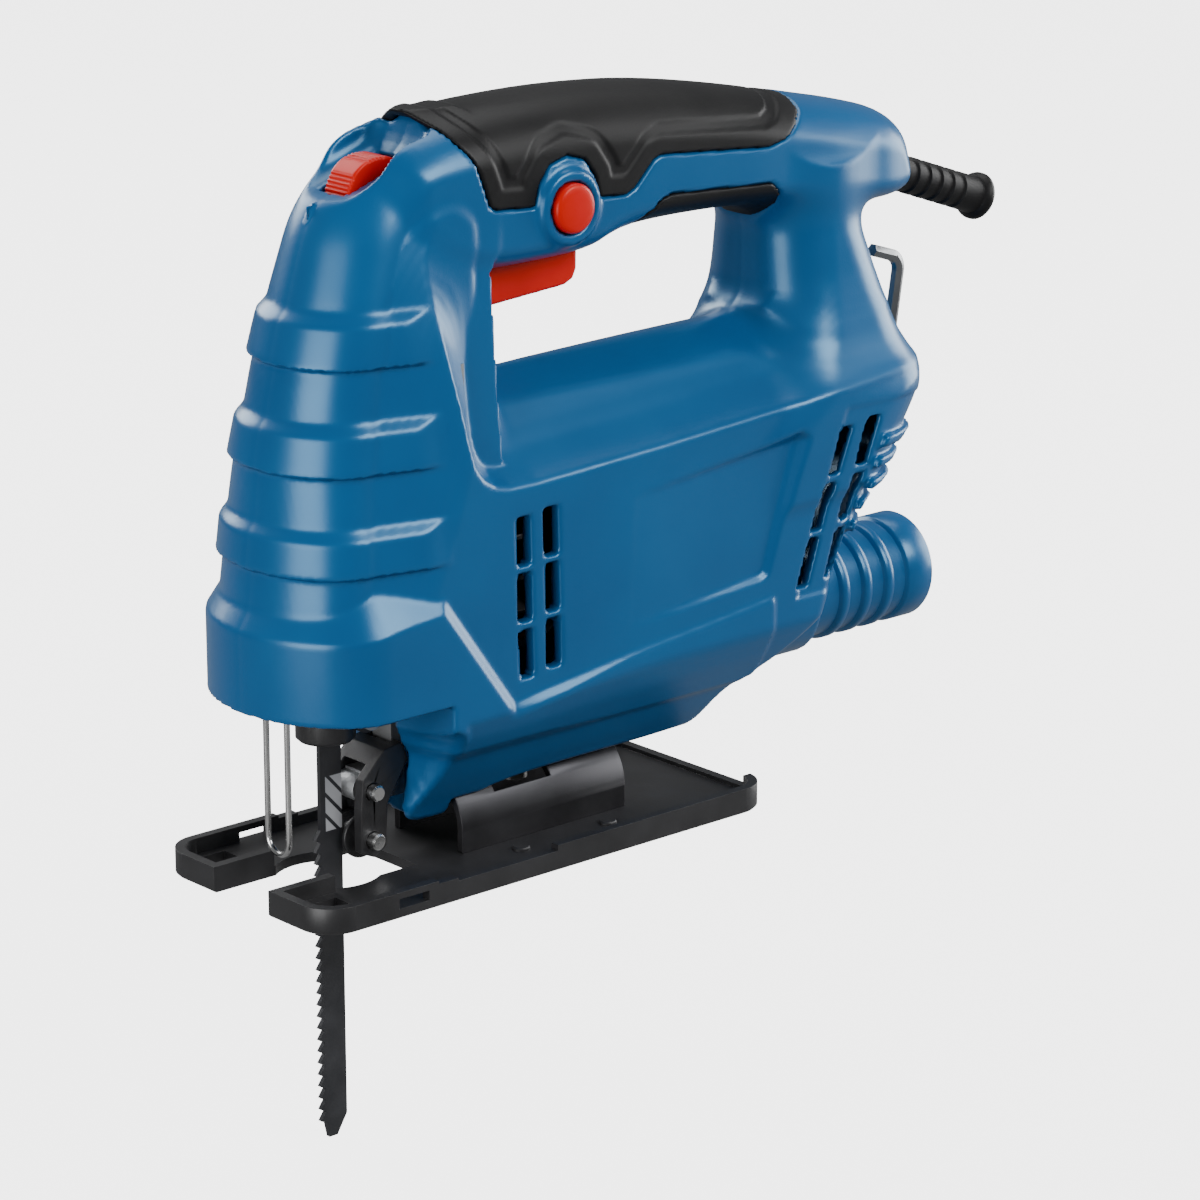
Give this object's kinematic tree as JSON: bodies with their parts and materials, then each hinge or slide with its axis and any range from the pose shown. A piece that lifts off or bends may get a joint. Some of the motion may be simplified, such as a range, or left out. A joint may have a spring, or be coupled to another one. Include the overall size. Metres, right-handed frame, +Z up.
{
  "type": "jigsaw power tool",
  "caption": "Corded hand jigsaw with a closed handle, blade, guide roller and a tilting base plate.",
  "frame": {"origin": "on the sole, straight below the blade, in the plane between the housing halves", "axes": "+Z up from the sole, -X is the cutting direction (nose), +X the rear, Y across"},
  "size_m": [0.2469, 0.064, 0.25],
  "materials": {
    "blue_plastic": "satin",
    "black_rubber": "matt",
    "red_plastic": "satin",
    "cast_aluminium": "as cast",
    "steel": "ground",
    "bright_steel": "polished",
    "black_steel": "satin",
    "dark_steel": "phosphated",
    "blade_steel": "black oxide",
    "copper": "enamelled wire",
    "black_plastic": "satin",
    "bronze": "sintered",
    "carbon": "matt",
    "board": "gloss",
    "fan_plastic": "satin"
  },
  "bodies": {
    "housing": {"cord_clamp": "black_plastic", "cord_sleeve": "black_rubber", "dust_port": "blue_plastic", "front_bearing": "steel", "gear_frame": "cast_aluminium", "gear_pin": "steel", "handle_grip": "black_rubber", "handle_pad": "black_rubber", "housing_screw_1": "steel", "housing_screw_2": "steel", "housing_screw_3": "steel", "housing_screw_4": "steel", "housing_screw_5": "steel", "housing_screw_6": "steel", "housing_screw_7": "steel", "left_brush_holder": "black_plastic", "left_carbon_brush": "carbon", "left_housing": "blue_plastic", "lever_pivot_pin": "bright_steel", "lower_bush": "bronze", "lower_field_coil": "copper", "rear_bearing": "steel", "right_brush_holder": "black_plastic", "right_carbon_brush": "carbon", "right_housing": "blue_plastic", "shoe_clamp_screw": "steel", "speed_board": "board", "stator": "dark_steel", "switch_body": "black_plastic", "trigger_pin": "steel", "upper_bush": "bronze", "upper_field_coil": "copper", "wire_guard": "bright_steel"},
    "armature": {"armature_shaft": "steel", "armature_core": "dark_steel", "front_winding": "copper", "rear_winding": "copper", "commutator": "copper", "cooling_fan": "fan_plastic"},
    "crank_gear": {"drive_gear": "steel", "crank_pin": "steel"},
    "plunger_rod": {"plunger": "bright_steel", "scotch_yoke": "steel", "blade_clamp": "black_steel", "blade_clamp_screw": "steel", "saw_blade": "blade_steel"},
    "roller_arm": {"roller_lever": "black_steel", "roller_axle": "bright_steel"},
    "roller": {"guide_roller": "black_steel"},
    "shoe_clamp": {"shoe_clamp_plate": "steel"},
    "base": {"base_plate": "black_steel", "bevel_arch": "dark_steel", "plate_rivet_1": "steel", "plate_rivet_2": "steel", "plate_rivet_3": "steel", "plate_rivet_4": "steel"},
    "trigger_lever": {"trigger": "red_plastic"},
    "lock": {"lock_button": "red_plastic"},
    "dial": {"speed_dial": "red_plastic"},
    "key": {"hex_key": "bright_steel"}
  },
  "joints": [
    {"name": "armature_spin", "type": "hinge", "parent": "housing", "child": "armature", "pos_m": [0.08, 0, 0.0715], "axis": [1, 0, 0], "continuous": true},
    {"name": "gear_spin", "type": "hinge", "parent": "housing", "child": "crank_gear", "pos_m": [0.0175, 0, 0.096], "axis": [1, 0, 0], "continuous": true},
    {"name": "plunger_stroke", "type": "slide", "parent": "housing", "child": "plunger_rod", "axis": [0, 0, 1], "range_m": [0, 0.02]},
    {"name": "roller_swing", "type": "hinge", "parent": "housing", "child": "roller_arm", "pos_m": [0.0085, 0, 0.022], "axis": [0, 1, 0], "range_deg": [-4, 0]},
    {"name": "roller_spin", "type": "hinge", "parent": "roller_arm", "child": "roller", "pos_m": [0.0085, 0, 0.0098], "axis": [0, 1, 0], "continuous": true},
    {"name": "base_shift", "type": "slide", "parent": "housing", "child": "shoe_clamp", "axis": [1, 0, 0], "range_m": [0, 0.012]},
    {"name": "base_bevel", "type": "hinge", "parent": "shoe_clamp", "child": "base", "pos_m": [0.058, 0, 0.008], "axis": [1, 0, 0], "range_deg": [-45, 45]},
    {"name": "trigger_press", "type": "hinge", "parent": "housing", "child": "trigger_lever", "pos_m": [0.0415, 0, 0.1485], "axis": [0, 1, 0], "range_deg": [-7, 0], "stiffness_Nm_per_rad": 0.6, "springref_deg": 11.46},
    {"name": "lock_press", "type": "slide", "parent": "housing", "child": "lock", "axis": [0, 1, 0], "range_m": [0, 0.003], "stiffness_N_per_m": 600, "springref_m": -0.002},
    {"name": "speed_turn", "type": "hinge", "parent": "housing", "child": "dial", "pos_m": [0.0155, 0, 0.1636], "axis": [0, 1, 0], "range_deg": [-135, 135]},
    {"name": "key_slide", "type": "slide", "parent": "housing", "child": "key", "axis": [0.1564, 0, 0.9877], "range_m": [0, 0.01]}
  ],
  "couplings": [
    {"joint": "gear_spin", "follows": "armature_spin", "ratio": -0.16667}
  ]
}
